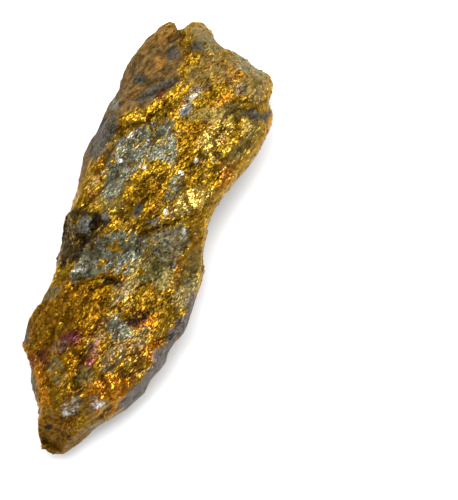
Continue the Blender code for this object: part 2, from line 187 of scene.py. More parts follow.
# Smaller patches, ovals seen from above: mineral, name, (x, y), half length and half width
# in mm, direction in degrees from +X towards +Y
SPOTS = (
    ("stain", "stain by the peak", (-24.0, 81.8), 6.6, 3.3, 55),
    ("stain", "stain on the flank", (-26.8, 66.3), 5.7, 1.9, 52),
    ("slate", "spot by the peak", (-18.5, 89.4), 3.8, 3.0, 58),
    ("slate", "long slate patch", (-18.9, 70.8), 11.2, 3.0, 50),
    ("slate", "spot on the right peak", (-9.3, 97.6), 4.3, 2.8, 40),
    ("blue", "grey chip in the streaks", (-2.1, 67.7), 3.3, 1.9, 78),
    ("slate", "spot on the flank", (-28.4, 72.1), 3.8, 2.4, 43),
    ("blue", "bluish spot on the flank", (-34.7, 56.3), 2.8, 1.9, 78),
    ("slate", "lower flank", (-33.6, 40.5), 12.3, 4.3, 85),
    ("stain", "stain on the left peak", (-26.6, 95.5), 6.6, 3.8, 63),
    ("maroon", "red corner of the ledge", (-16.2, 69.9), 3.3, 1.4, 63),
    ("silk", "patch by the corner", (17.6, 86.8), 3.3, 2.0, 53),
    ("grey", "patch below the window", (-20.4, 19.3), 5.7, 3.8, 93),
    ("grey", "patch right of the boss", (7.0, 34.9), 4.3, 2.8, 63),
    ("grey", "patch above the bright field", (7.5, 29.4), 4.3, 2.4, 53),
    # Silvery streaks: pale ore, partly painted highlight
    ("silver", "streak of the window", (-22.6, 44.6), 5.0, 0.9, 66),
    ("silver", "second streak of the window", (-15.2, 45.2), 5.4, 0.8, 62),
    ("silver", "streak of the top", (-1.5, 76.0), 7.5, 1.1, 75),
    ("silver", "glassy streak of the band", (-17.2, -19.3), 7.0, 1.2, 42),
    # Painted glints: faces that catch the lamp, laid as near-white paint
    ("glint", "first painted glint", (-21.9, 33.7), 1.2, 0.9, 68),
    ("glint", "second painted glint", (-10.3, 34.3), 1.2, 0.7, 68),
    ("glint", "third painted glint", (6.9, 38.9), 1.2, 1.2, 68),
    ("glint", "fourth painted glint", (11.4, 48.0), 1.5, 0.9, 83),
    ("deep", "golden boss", (-5.7, 22.8), 7.1, 5.2, 73),
    ("slate", "slate chip", (-5.1, 14.5), 3.8, 1.9, 93),
    ("grey", "chip over the crack", (4.5, 12.7), 3.8, 1.9, 23),
    # Painted glints
    ("glint", "square painted glint", (7.4, 19.8), 1.1, 0.9, 43),
    ("glint", "painted glint on the gold", (15.6, 23.7), 1.7, 1.1, 33),
    ("bright", "bright field", (16.8, 28.5), 8.4, 5.0, 53),
    ("matte", "brown left edge", (-36.8, 20.0), 9.0, 2.6, 92),
    ("blue", "spot in the hollow", (-25.3, -2.1), 4.3, 2.8, 93),
    ("blue", "chip by the hollow", (-18.6, 6.7), 2.8, 1.9, 113),
    # Painted shade in a pit and a slot of the waist
    ("black", "pit of the waist", (-20.9, -7.8), 1.7, 1.2, 43),
    ("black", "slot of the waist", (-21.4, 4.1), 1.9, 0.9, 93),
    ("gold", "islet in the band", (-7.9, -5.8), 4.7, 1.7, 8),
    ("gold", "small islet in the band", (-10.3, -14.1), 2.4, 1.4, 53),
    # Painted glint
    ("glint", "painted glint on the band's edge", (-20.5, -22.4), 2.4, 0.6, 63),
    ("rock", "spot left of the lobe", (-27.1, -37.8), 5.2, 2.8, 63),
    # Painted shade in slots over the lobe
    ("black", "slot over the lobe", (-5.3, -21.1), 2.8, 0.9, 68),
    ("black", "second slot over the lobe", (-0.6, -21.4), 2.4, 0.8, 68),
    # Painted glints on the quartz
    ("glint", "painted glint on the quartz", (18.7, 14.2), 0.9, 1.5, 23),
    ("glint", "second painted glint on the quartz", (21.3, -2.5), 0.6, 1.5, 23),
    ("gold", "chip in the olive foot", (8.0, -12.2), 1.9, 1.4, 23),
    ("maroon", "dark field of the lobe", (15.6, -32.6), 6.0, 3.8, 53),
    # Partly dark ore, partly painted shade in the hollows
    ("dark", "hollow of the lobe", (14.5, -33.4), 3.8, 1.9, 60),
    ("dark", "second hollow of the lobe", (18.6, -29.8), 2.6, 1.4, 60),
    ("orange", "chip by the flank", (22.4, -31.0), 2.8, 3.8, 23),
    ("orange", "second chip by the flank", (28.0, -40.1), 4.3, 2.4, 53),
    ("maroon", "red ore round the purple field", (-10.3, -53.6), 6.6, 3.6, 43),
    ("purple", "purple field", (-10.3, -53.6), 3.8, 1.9, 43),
    ("maroon", "red ore round the purple spot", (1.8, -60.8), 6.0, 3.0, 70),
    ("purple", "purple spot", (2.3, -61.4), 3.0, 1.7, 83),
    ("pink", "pink field", (-13.0, -59.4), 4.7, 2.8, 53),
    ("pink", "pink lens", (1.4, -53.2), 4.7, 1.9, 88),
    ("maroon", "dark red corner", (-20.1, -68.4), 5.7, 4.0, 53),
    ("orange", "orange edge", (-14.1, -78.3), 11.4, 2.4, -52),
    ("rock", "olive field", (-9.6, -70.5), 6.6, 3.8, -47),
    ("rock", "olive knob", (2.8, -67.1), 4.7, 4.3, 23),
    ("slate", "slate chip of the lobe", (12.2, -60.1), 2.8, 1.9, 23),
    # Pale silvery ore round a glint, its bright dots partly painted sparkle
    ("silver", "silver round the painted glint", (13.8, -77.6), 3.6, 3.0, -47),
    ("glint", "painted glint of the chip", (14.7, -77.1), 1.5, 1.2, -47),
    # Pale silvery ore, its bright dots partly painted sparkle
    ("silver", "streaky field", (3.0, -83.5), 5.8, 3.2, 73),
    # Painted glint
    ("glint", "small painted glint", (1.3, -87.5), 1.2, 0.9, 53),
    # Painted shade in a pit of the tip
    ("black", "pit of the tip", (-3.2, -96.0), 1.9, 1.4, 53),
    ("rock", "edge before the tip", (16.5, -87.5), 6.0, 2.4, 47),
    ("slate", "grey edge on the left", (-30.7, -59.8), 1.9, 4.7, 23),
    ("slate", "grey edge by the tip", (-17.2, -80.3), 1.4, 6.6, 28),
)

# The patches are laid from this point over the stone, in mm, at their true size on its rim
PAINT_EYE = (42.4, 14.6, 481.0)
RIM_LEVEL = 20.2
ZONE_SOFTNESS = 2  # a zone's edge is so many times softer than a patch's
ZONE_REACH = 0.6  # share of a zone's soft edge that lies outside it
PATCH_REACH = 0.5  # the same for a patch or a spot
SPOT_WANDER = 0.4  # a spot's edge wanders by this share of a patch's
SPOT_FRINGE = 0.25  # largest teeth and softest edge of a spot, as shares of its half width
SPOT_EDGE = 0.6

# Noise that the ore is painted with, in waves: what lengths along the sheets are multiplied
# by (the less, the longer the wave; None makes it even all round), size in mm, share, seed
PATTERNS = {
    "grain": ((1.0, 1.3, 0.6, 61), (None, 0.7, 0.5, 60)),
    "streaks": ((1.0, 3.2, 1.0, 62), (1.0, 1.5, 0.6, 63)),
    "clouds": ((None, 15, 1.0, 64), (None, 7, 0.5, 65)),
    "sparks": ((1.0, 2.1, 1.0, 66),),
    "veins": ((0.5, 1.3, 1.0, 59),),
    "slip": ((0.6, 1.5, 1.0, 67), (1.0, 4.0, 0.7, 68)),
    "drift": ((None, 4.0, 0.5, 69), (None, 1.5, 0.3, 70)),
    "rock": ((None, 26, 1.0, 72), (None, 9, 0.5, 73)),
    "mottle": ((None, 1.4, 0.8, 74), (None, 0.75, 1.0, 75)),
}
VEINS_IN_CLOUDS = 0.4  # how much the veins gain there
VEINS_IN_LOBE = 0.25

# Minerals that follow a pattern, under the patches and on the sides below them: mineral,
# pattern, the value where it starts, how much further on it is full, its share
STREAKS = (
    ("deep", "streaks", 0.05, 0.5, 0.75),
    ("orange", "clouds", 0.25, 0.5, 0.7),
    ("silk", "streaks", -0.55, -0.3, 0.6),
    ("bright", "sparks", 0.45, 0.2, 0.4),
    ("maroon", "veins", 0.4, 0.3, 0.6),
)
SIDES = (("matte", "rock", -0.25, 0.3, 1.0), ("slate", "rock", -0.15, -0.3, 1.0))

# Ramps of the paint, by place or by the Z of a face's normal: start, how much further on full
LOBE = (-30 * MM, -15 * MM)  # the lobe has more of the red-brown veins
BODY = (-98 * MM, 8 * MM)  # the narrow tip, short of it, is painted all the way round
LOW = (24 * MM, -8 * MM)  # steep faces this low are plain rock
STEEP = (0.08, -0.2)
FACING = (0.1, 0.25)  # spots show only on faces that look up
THROUGH_FADE = 0.25  # range of the grain over which the ore under a patch comes through
MOTTLE_LIMIT = 1.5  # a colour's mottle is in proportion to this less its share of metal
DARKEST = 0.15  # the mottle leaves at least this share of a colour

METAL, ROUGH, CUT, PLATES = range(3, 7)  # columns of the painted values, after the colour

# Crystals cut into the surface: size of a face, wave of the swells and their height in mm, seed
CRYSTALS = ((5.0, 7.0, 0.27, 30), (2.4, 3.4, 0.17, 37), (1.3, 1.8, 0.09, 44))
SHEET_STRETCH = 2.4  # crystals are so many times longer along the sheets than across them
MERGE_DISTANCE = 0.001 * MM
CUT_FADE = 1.5 * MM  # the cutting fades out towards the floor over this height
SHARP_ANGLE = math.radians(22)
HOLLOWS = ((4, 1.0), (24, 4.0))  # rounds of evening that find the hollows that get painted shade, and how deep
PLATES_START = 4 * MM  # plates stand above this height
STEEP_PLATES = 0.4  # share of the plates that steep faces have
FULL_PLATES = 0.5  # a face that looks up more than this has them all

# Outlines of crystal plates, each one long from end to end
PLATE_OUTLINES = (
    ((0.50, 0.03), (0.27, 0.19), (-0.24, 0.21), (-0.50, 0.04), (-0.31, -0.18), (0.24, -0.22)),
    ((0.50, -0.06), (0.36, 0.15), (-0.12, 0.25), (-0.47, 0.12), (-0.50, -0.10), (0.08, -0.24)),
    ((0.48, 0.10), (0.02, 0.17), (-0.40, 0.13), (-0.50, -0.05), (-0.12, -0.16), (0.43, -0.12)),
    ((0.50, 0.00), (0.20, 0.28), (-0.20, 0.24), (-0.48, -0.02), (-0.18, -0.26), (0.25, -0.20)),
    ((0.49, 0.12), (-0.05, 0.14), (-0.49, 0.02), (-0.42, -0.13), (0.10, -0.15), (0.50, -0.04)),
)
PLATE_BEVEL = 0.7  # size of a plate's upper face beside its outline
PLATE_TOP = 0.12  # levels of its upper face and its foot, beside its length
PLATE_FOOT = -0.30
PLATE_POLISH = 0.85  # roughness and glitter of a plate, beside the ore
PLATE_GLITTER = 0.35
PLATE_TINTS = (0.75, 1.3)  # darkest and brightest plate, beside the ore
PLATE_CROWDING = 2.0  # plates tried on each square as wide as their spacing

# The smallest crystals come in two layers: length, width and tilt beside the settings
GLITTER_LAYERS = ((1.0, 1.0, 1.0), (0.4, 0.6, 0.8))
GLITTER_LEAN = (1.1, 2.2, 1.1)  # they lean twice as far across the sheets as along them
LIT_RARITY = 4.0  # the higher, the fewer crystals get a painted highlight
LIT = (0.88, 1.6)  # painted highlight: brightness of the dullest crystals and of the best lit
SHADED_GAPS = (0.3, 0.45)  # painted shade: share of the crystals that are darkened as if in shade, and brightness of the darkest
REDDISH = (0.4, 0.72)  # share that are reddish, and green light of the reddest
SILVERY = (0.6, 0.85, 1.5)  # share that aren't silvery, and least and most blue light
ROCK_GLOSS = 0.12  # how strongly the ore that isn't metal reflects
GLOSS_TINT = (1.0, 0.88, 0.64, 1.0)  # warms its reflections, and those of metal at a slant

# The camera looks straight down, turned so that the stone leans as in the photograph
CAMERA_TURN = math.radians(23.29)
PICTURE_RIGHT = Vector((math.cos(CAMERA_TURN), math.sin(CAMERA_TURN), 0.0))
PICTURE_UP = Vector((-math.sin(CAMERA_TURN), math.cos(CAMERA_TURN), 0.0))
CAMERA_OFFSET = (44.7 * MM, -3.3 * MM)  # to the picture's right and up from the origin
LENS = 70.0
SENSOR = 36.0
FLOOR_HALF = 3.0
FLOOR_ROUGHNESS = 0.9
FLOOR_DROP = 0.05 * MM  # the floor lies this much below the stone's flat face

# Lamps: name, size, place towards the picture's right and top and over the floor
LAMPS = (
    ("key", 0.60, (0.38, 0.42, 1.00)),
    ("top", 0.30, (-0.10, 0.20, 0.75)),
    ("fill", 0.50, (-0.60, -0.25, 0.45)),
)
LAMP_TARGET = Vector((0, 0, 0.03))

# Uneven numbers that turn the corners of a grid into scattered values, always the same
SCATTER = (127.1, 311.7, 74.7)
SEED_STRIDE = 53.3
SCATTER_GAIN = 43758.5453


def smoothstep(t):
    """0 below 0, 1 above 1, and a smooth rise between."""
    t = np.clip(t, 0.0, 1.0)
    return t * t * (3.0 - 2.0 * t)


def ramp(values, start, fade):
    """0 up to the start and 1 from start + fade on; a fade below 0 runs downwards."""
    return smoothstep((values - start) / fade)


def hash01(cells, seed):
    """A fixed number from 0 to 1 for each cell of a grid."""
    x = cells @ np.array(SCATTER) + seed * SEED_STRIDE
    return np.abs(np.sin(x) * SCATTER_GAIN) % 1.0


def soft_noise(points, size, seed):
    """Smooth noise from -1 to 1 with features of that size."""
    scaled = points / size
    base = np.floor(scaled)
    part = smoothstep(scaled - base)
    total = np.zeros(len(points))
    for shift in np.ndindex(2, 2, 2):
        corner = np.array(shift)
        weight = np.where(corner == 1, part, 1 - part).prod(1)
        total += weight * hash01(base + corner, seed)
    return 2 * total - 1


def nearest_cell(points, size, seed):
    """The centre of the nearest of the scattered cells, for each point."""
    base = np.floor(points / size)
    nearest = np.full(len(points), np.inf)
    centres = np.zeros_like(points)
    for shift in np.ndindex(3, 3, 3):
        cell = base + np.array(shift) - 1
        centre = (cell + np.stack([hash01(cell, seed + axis) for axis in range(3)], 1)) * size
        distance = ((points - centre) ** 2).sum(1)
        closer = distance < nearest
        nearest[closer] = distance[closer]
        centres[closer] = centre[closer]
    return centres


def facets(points, size, wave, height, seed):
    """Crystal faces: soft noise in which each cell keeps only its own tangent plane."""
    centres = nearest_cell(points, size, seed)
    middle = soft_noise(centres, wave, seed)
    flat = middle
    for axis in range(3):
        step = np.zeros(3)
        step[axis] = size / 4
        slope = (soft_noise(centres + step, wave, seed) - middle) / step[axis]
        flat = flat + slope * (points - centres)[:, axis]
    return flat * height


def along_sheets(points):
    """The points in a frame that follows the sheets, shortened along them."""
    c, s = math.cos(FOLIATION), math.sin(FOLIATION)
    along = points[:, 0] * c + points[:, 1] * s
    across = points[:, 0] * -s + points[:, 1] * c
    return np.column_stack((along / SHEET_STRETCH, across, points[:, 2]))


def depth_in_outline(plan, outline):
    """Distance from each plan point to the outline, above 0 inside it."""
    corners = np.array(outline) * MM
    nearest = np.full(len(plan), np.inf)
    inside = np.zeros(len(plan), bool)
    for a, b in zip(corners, np.roll(corners, -1, 0)):
        t = np.clip((plan - a) @ (b - a) / ((b - a) @ (b - a)), 0, 1)
        nearest = np.minimum(nearest, np.linalg.norm(plan - a - t[:, None] * (b - a), axis=1))
        spans = (a[1] > plan[:, 1]) != (b[1] > plan[:, 1])
        rise = b[1] - a[1] if b[1] != a[1] else 1.0
        inside ^= spans & (plan[:, 0] < a[0] + (plan[:, 1] - a[1]) * (b[0] - a[0]) / rise)
    return np.where(inside, nearest, -nearest)


def depth_in_oval(plan, centre, half_length, half_width, degrees):
    """About the distance from each plan point to the oval's edge, above 0 inside it."""
    turn = math.radians(degrees)
    away = plan / MM - np.array(centre)
    u = (away @ np.array((math.cos(turn), math.sin(turn)))) / half_length
    v = (away @ np.array((-math.sin(turn), math.cos(turn)))) / half_width
    return (1 - np.hypot(u, v)) * min(half_length, half_width) * MM


class Paint:
    """Colour, metal, roughness, cut and plates of the ore at each point, laid on in layers."""

    def __init__(self, points, colours):
        self.points = points
        self.colours = colours
        self.sheets = along_sheets(points)
        self.patterns = {name: self.noise(name) for name in PATTERNS}
        self.values = np.tile(self.row("gold"), (len(points), 1))

    def row(self, mineral):
        """The mineral's colour, metal, roughness, cut and plates as one row of seven numbers."""
        colour, metal, rough, cut, plates, _ = MINERALS[mineral]
        colour = getattr(self.colours, mineral, colour)
        return np.array((*colour, metal, rough, cut, plates))

    def noise(self, name):
        """The named pattern at each point."""
        total = np.zeros(len(self.points))
        for along, size, share, seed in PATTERNS[name]:
            places = self.points if along is None else self.sheets * (along, 1.0, 1.0)
            total += share * soft_noise(places, size * MM, seed)
        return total

    def lay(self, mineral, amount):
        """Covers that share of what is there, less the grains that show through."""
        through = MINERALS[mineral][-1]
        shown = smoothstep((self.patterns["grain"] + 1 - 2 * through) / THROUGH_FADE + 0.5)
        covered = np.clip(amount, 0, 1) * shown
        self.values += covered[:, None] * (self.row(mineral) - self.values)

    def lay_patterned(self, rows, amount=1.0):
        """Lays the minerals that follow a pattern."""
        for mineral, pattern, start, fade, share in rows:
            self.lay(mineral, amount * (share * ramp(self.patterns[pattern], start, fade)))


def seen_from_above(points):
    """Plan of each point as seen from over the stone, at the scale of its rim."""
    eye = np.array(PAINT_EYE) * MM
    scale = (eye[2] - RIM_LEVEL * MM) / (eye[2] - points[:, 2])
    return eye[:2] + (points[:, :2] - eye[:2]) * scale[:, None]


def paint_ore(points, normals, settings, colours):
    """Paints the whole stone: streaks, patches and spots, and plainer sides below them."""
    ore = Paint(points, colours)
    patterns = ore.patterns
    patterns["veins"] += VEINS_IN_CLOUDS * patterns["clouds"]
    patterns["veins"] += VEINS_IN_LOBE * ramp(points[:, 1], *LOBE)
    ore.lay_patterned(STREAKS)
    steep = smoothstep((ramp(normals[:, 2], *STEEP) - 0.5) * 2)
    top = 1 - steep * ramp(points[:, 2], *LOW) * ramp(points[:, 1], *BODY)
    facing = ramp(normals[:, 2], *FACING)
    along = np.array((math.cos(FOLIATION), math.sin(FOLIATION)))
    across = np.array((-along[1], along[0]))
    wander = patterns["slip"][:, None] * along + patterns["drift"][:, None] * across
    wander *= settings.patch_wander
    plan = seen_from_above(points)
    edge = settings.patch_edge
    for mineral, _, *oval in ZONES:
        depth = depth_in_oval(plan + wander, *oval)
        inside = smoothstep(depth / (ZONE_SOFTNESS * edge) + ZONE_REACH)
        ore.lay(mineral, settings.zone_share * top * inside)
    for mineral, _, outline in FIELDS:
        depth = depth_in_outline(plan + wander, outline)
        depth += settings.patch_fringe * patterns["grain"]
        ore.lay(mineral, top * smoothstep(depth / edge + PATCH_REACH))
    for mineral, _, centre, half_length, half_width, degrees in SPOTS:
        depth = depth_in_oval(plan + SPOT_WANDER * wander, centre, half_length, half_width, degrees)
        depth += min(settings.patch_fringe, SPOT_FRINGE * half_width * MM) * patterns["grain"]
        crisp = min(edge, SPOT_EDGE * half_width * MM)
        ore.lay(mineral, top * facing * smoothstep(depth / crisp + PATCH_REACH))
    ore.lay_patterned(SIDES, 1 - top)
    share = settings.mottle * ore.values[:, CUT] * (MOTTLE_LIMIT - ore.values[:, METAL])
    ore.values[:, :METAL] *= np.maximum(1 + patterns["mottle"] * share, DARKEST)[:, None]
    return ore.values


def placed(name, data):
    """A new object in the scene that holds the mesh, lamp or camera."""
    made = bpy.data.objects.new(name, data)
    bpy.context.scene.collection.objects.link(made)
    return made


def modified(mesh, kind, inputs=None, **values):
    """A new mesh: this one after one modifier with those properties and node inputs."""
    obj = placed("temporary", mesh)
    modifier = obj.modifiers.new(kind.lower(), kind)
    for name, value in values.items():
        setattr(modifier, name, value)
    if inputs:
        for item in modifier.node_group.interface.items_tree:
            if item.in_out == "INPUT" and item.name in inputs:
                modifier[item.identifier] = inputs[item.name]
    graph = bpy.context.evaluated_depsgraph_get()
    made = bpy.data.meshes.new_from_object(obj.evaluated_get(graph))
    bpy.data.objects.remove(obj)
    return made


def coordinates(mesh):
    """The mesh's points, a row each."""
    found = np.empty(len(mesh.vertices) * 3)
    mesh.vertices.foreach_get("co", found)
    return found.reshape(-1, 3)


def directions(mesh):
    """The mesh's vertex normals, a row each."""
    found = np.empty(len(mesh.vertices) * 3)
    mesh.vertex_normals.foreach_get("vector", found)
    return found.reshape(-1, 3)


def evened(mesh, values, rounds):
    """Each point's values after so many rounds of taking the mean of its neighbours'."""
    edges = np.empty(len(mesh.edges) * 2, np.int64)
    mesh.edges.foreach_get("vertices", edges)
    a, b = edges.reshape(-1, 2).T
    count = np.bincount(edges, minlength=len(values))[:, None]
    for _ in range(rounds):
        total = np.zeros_like(values)
        for column in range(values.shape[1]):
            total[:, column] += np.bincount(a, values[b, column], len(values))
            total[:, column] += np.bincount(b, values[a, column], len(values))
        values = total / np.maximum(count, 1)
    return values


def store(mesh, name, values):
    """Keeps one number, or one colour, for each point of the mesh."""
    if values.ndim == 1:
        made = mesh.attributes.new(name, "FLOAT", "POINT")
        made.data.foreach_set("value", values.astype(np.float32))
    else:
        made = mesh.attributes.new(name, "FLOAT_COLOR", "POINT")
        full = np.column_stack((values, np.ones(len(values))))
        made.data.foreach_set("color", full.astype(np.float32).ravel())


def carved_stone(settings, colours):
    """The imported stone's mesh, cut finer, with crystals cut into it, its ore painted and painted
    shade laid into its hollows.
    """
    bm = bmesh.new()
    bm.from_mesh(frame["nodes"]["chalcopyrite"].data)
    bmesh.ops.remove_doubles(bm, verts=bm.verts, dist=MERGE_DISTANCE)
    packed = bpy.data.meshes.new("packed stone")
    bm.to_mesh(packed)
    bm.free()
    mesh = modified(packed, "REMESH", mode="VOXEL", voxel_size=settings.point_spacing)
    points, normals = coordinates(mesh), directions(mesh)
    cut = paint_ore(points, normals, settings, colours)[:, CUT]
    sheets = along_sheets(points)
    depth = np.zeros(len(points))
    for size, wave, height, seed in CRYSTALS:
        depth += facets(sheets, size * MM, wave * MM, height * MM, seed)
    depth = (depth - settings.sink) * cut * settings.relief
    depth *= smoothstep(points[:, 2] / CUT_FADE)
    points += normals * depth[:, None]
    points[:, 2] = np.maximum(points[:, 2], 0.0)
    mesh.vertices.foreach_set("co", points.ravel())
    triangles = sum(len(p.vertices) - 2 for p in mesh.polygons)
    mesh = modified(
        mesh, "DECIMATE", ratio=settings.triangles / triangles, use_collapse_triangulate=True
    )
    points, normals = coordinates(mesh), directions(mesh)
    values = paint_ore(points, normals, settings, colours)
    # Painted shade: the colour is darkened in the hollows between crystals, the more the deeper they
    # are
    hollow = np.zeros(len(points))
    for rounds, depths in HOLLOWS:
        rise = ((evened(mesh, points, rounds) - points) * normals).sum(1)
        hollow += rise / (depths * settings.hollow_depth)
    shade = 1 - settings.hollow_shade * smoothstep(hollow)
    upward = STEEP_PLATES + (1 - STEEP_PLATES) * smoothstep(normals[:, 2] / FULL_PLATES)
    raised = smoothstep(points[:, 2] / PLATES_START - 1)
    store(mesh, "ore_colour", values[:, :METAL] * shade[:, None])
    store(mesh, "ore_metal", values[:, METAL])
    store(mesh, "ore_rough", values[:, ROUGH])
    store(mesh, "ore_cut", values[:, CUT])
    store(mesh, "ore_plates", values[:, PLATES] * (raised * upward))
    return mesh


def add_node(tree, kind, inputs=None, **values):
    """A node with its properties and inputs set; an input may be a value or a socket."""
    node = tree.nodes.new(kind)
    for name, value in values.items():
        setattr(node, name, value)
    for name, value in (inputs or {}).items():
        socket = node.inputs[name]
        if isinstance(value, bpy.types.NodeSocket):
            tree.links.new(value, socket)
        else:
            socket.default_value = value
    return node


def ranged(tree, value, **limits):
    """A node's output: the value carried from one range into another."""
    inputs = {name.replace("_", " ").title(): limit for name, limit in limits.items()}
    return add_node(tree, "ShaderNodeMapRange", {"Value": value, **inputs}).outputs["Result"]


def vector_math(tree, operation, first, second):
    """A node's output: two vectors put together, or one scaled by a number."""
    inputs = {0: first, "Scale" if operation == "SCALE" else 1: second}
    return add_node(tree, "ShaderNodeVectorMath", inputs, operation=operation).outputs["Vector"]


def cell_light_and_tint(tree, cell_colour):
    """What each small crystal's colour is multiplied by: painted highlights on a few, painted shade on
    a few, and some are red or silvery.
    """
    split = add_node(tree, "ShaderNodeSeparateColor", {"Color": cell_colour}).outputs
    rare = add_node(tree, "ShaderNodeMath", {0: split["Green"], 1: LIT_RARITY}, operation="POWER")
    lit = ranged(tree, rare.outputs["Value"], to_min=LIT[0], to_max=LIT[1])
    shaded_gap = ranged(tree, split["Blue"], from_max=SHADED_GAPS[0], to_min=SHADED_GAPS[1])
    brightness = add_node(tree, "ShaderNodeMath", {0: lit, 1: shaded_gap}, operation="MULTIPLY")
    green = ranged(tree, split["Red"], from_max=REDDISH[0], to_min=REDDISH[1])
    blue = ranged(tree, split["Red"], from_min=SILVERY[0], to_min=SILVERY[1], to_max=SILVERY[2])
    hue = add_node(tree, "ShaderNodeCombineXYZ", {"X": 1.0, "Y": green, "Z": blue})
    return vector_math(tree, "SCALE", hue.outputs["Vector"], brightness.outputs["Value"])


def ore_material(glitter):
    """The stone's one material: painted ore whose small crystals each tilt their own way."""
    made = bpy.data.materials.new("ore")
    made.use_nodes = True
    tree = made.node_tree
    colour, metal, rough, cut = (
        add_node(tree, "ShaderNodeAttribute", attribute_name=name).outputs
        for name in ("ore_colour", "ore_metal", "ore_rough", "ore_cut")
    )
    where = add_node(tree, "ShaderNodeTexCoord").outputs["Object"]
    normal = add_node(tree, "ShaderNodeNewGeometry").outputs["Normal"]
    turn = (0.0, 0.0, FOLIATION)
    tint = None
    for length, width, tilt in GLITTER_LAYERS:
        size = (glitter.length * length, glitter.width * width, glitter.width * width)
        place = add_node(
            tree,
            "ShaderNodeMapping",
            {"Vector": where, "Rotation": turn, "Scale": size},
            vector_type="TEXTURE",
        )
        cells = add_node(
            tree, "ShaderNodeTexVoronoi", {"Vector": place.outputs["Vector"], "Scale": 1.0}
        ).outputs["Color"]
        slope = glitter.tilt * tilt
        leaning = add_node(
            tree,
            "ShaderNodeMapping",
            {
                "Vector": vector_math(tree, "SUBTRACT", cells, (0.5, 0.5, 0.5)),
                "Rotation": turn,
                "Scale": [lean * slope for lean in GLITTER_LEAN],
            },
            vector_type="VECTOR",
        )
        tilted = vector_math(tree, "SCALE", leaning.outputs["Vector"], cut["Fac"])
        normal = vector_math(tree, "ADD", normal, tilted)
        # The first layer's cells also paint highlights and shade into the crystals' colour
        tint = tint or cell_light_and_tint(tree, cells)
    turned = add_node(tree, "ShaderNodeVectorMath", {0: normal}, operation="NORMALIZE")
    shader = tree.nodes["Principled BSDF"].inputs
    shader["Specular IOR Level"].default_value = ROCK_GLOSS
    shader["Specular Tint"].default_value = GLOSS_TINT
    for socket, source in (
        ("Base Color", vector_math(tree, "MULTIPLY", colour["Color"], tint)),
        ("Metallic", metal["Fac"]),
        ("Roughness", rough["Fac"]),
        ("Normal", turned.outputs["Vector"]),
    ):
        tree.links.new(source, shader[socket])
    return made


def plate_collection():
    """The crystal plates that get scattered, as closed solids with a bevelled upper face."""
    collection = bpy.data.collections.new("plates")
    for number, outline in enumerate(PLATE_OUTLINES):
        count = len(outline)
        lower = [(x, y, PLATE_FOOT) for x, y in outline]
        upper = [(x * PLATE_BEVEL, y * PLATE_BEVEL, PLATE_TOP) for x, y in outline]
        sides = [(i, (i + 1) % count, count + (i + 1) % count, count + i) for i in range(count)]
        caps = [tuple(range(count))[::-1], tuple(range(count, 2 * count))]
        mesh = bpy.data.meshes.new(f"plate {number}")
        mesh.from_pydata(lower + upper, [], sides + caps)
        collection.objects.link(bpy.data.objects.new(f"plate {number}", mesh))
    return collection


def named_value(tree, kind, name):
    """A node that reads one of the mesh's attributes."""
    return add_node(
        tree, "GeometryNodeInputNamedAttribute", {"Name": name}, data_type=kind
    ).outputs["Attribute"]


def random_vector(tree, low, high, seed):
    """A node's output: a random vector for each plate, between those limits."""
    limits = {0: low, 1: high, "Seed": seed}
    node = add_node(tree, "FunctionNodeRandomValue", limits, data_type="FLOAT_VECTOR")
    return node.outputs["Value"]


